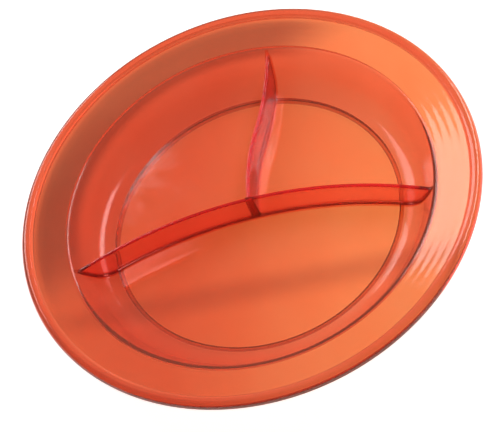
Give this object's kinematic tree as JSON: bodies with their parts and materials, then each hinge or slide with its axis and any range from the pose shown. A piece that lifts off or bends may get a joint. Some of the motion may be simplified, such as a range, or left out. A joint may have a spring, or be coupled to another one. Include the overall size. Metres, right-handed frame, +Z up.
{
  "type": "divided compartment plate",
  "caption": "Round dinner plate in clear orange-red plastic, with a sloping rim, a raised lip and thin curved dividers that part its well into food compartments.",
  "frame": {"origin": "centre of the circle that the foot ring stands on", "axes": "+Z up through the middle of the plate, -Y towards the large compartment"},
  "size_m": [0.254, 0.254, 0.0288],
  "materials": {
    "clear_plastic": "clear orange-red tint, high gloss"
  },
  "bodies": {
    "root": {"rim_bead": "clear_plastic", "rim": "clear_plastic", "well_wall": "clear_plastic", "well_floor": "clear_plastic", "foot_ring": "clear_plastic", "divider_left": "clear_plastic", "divider_right": "clear_plastic", "divider_rear": "clear_plastic"}
  },
  "joints": []
}
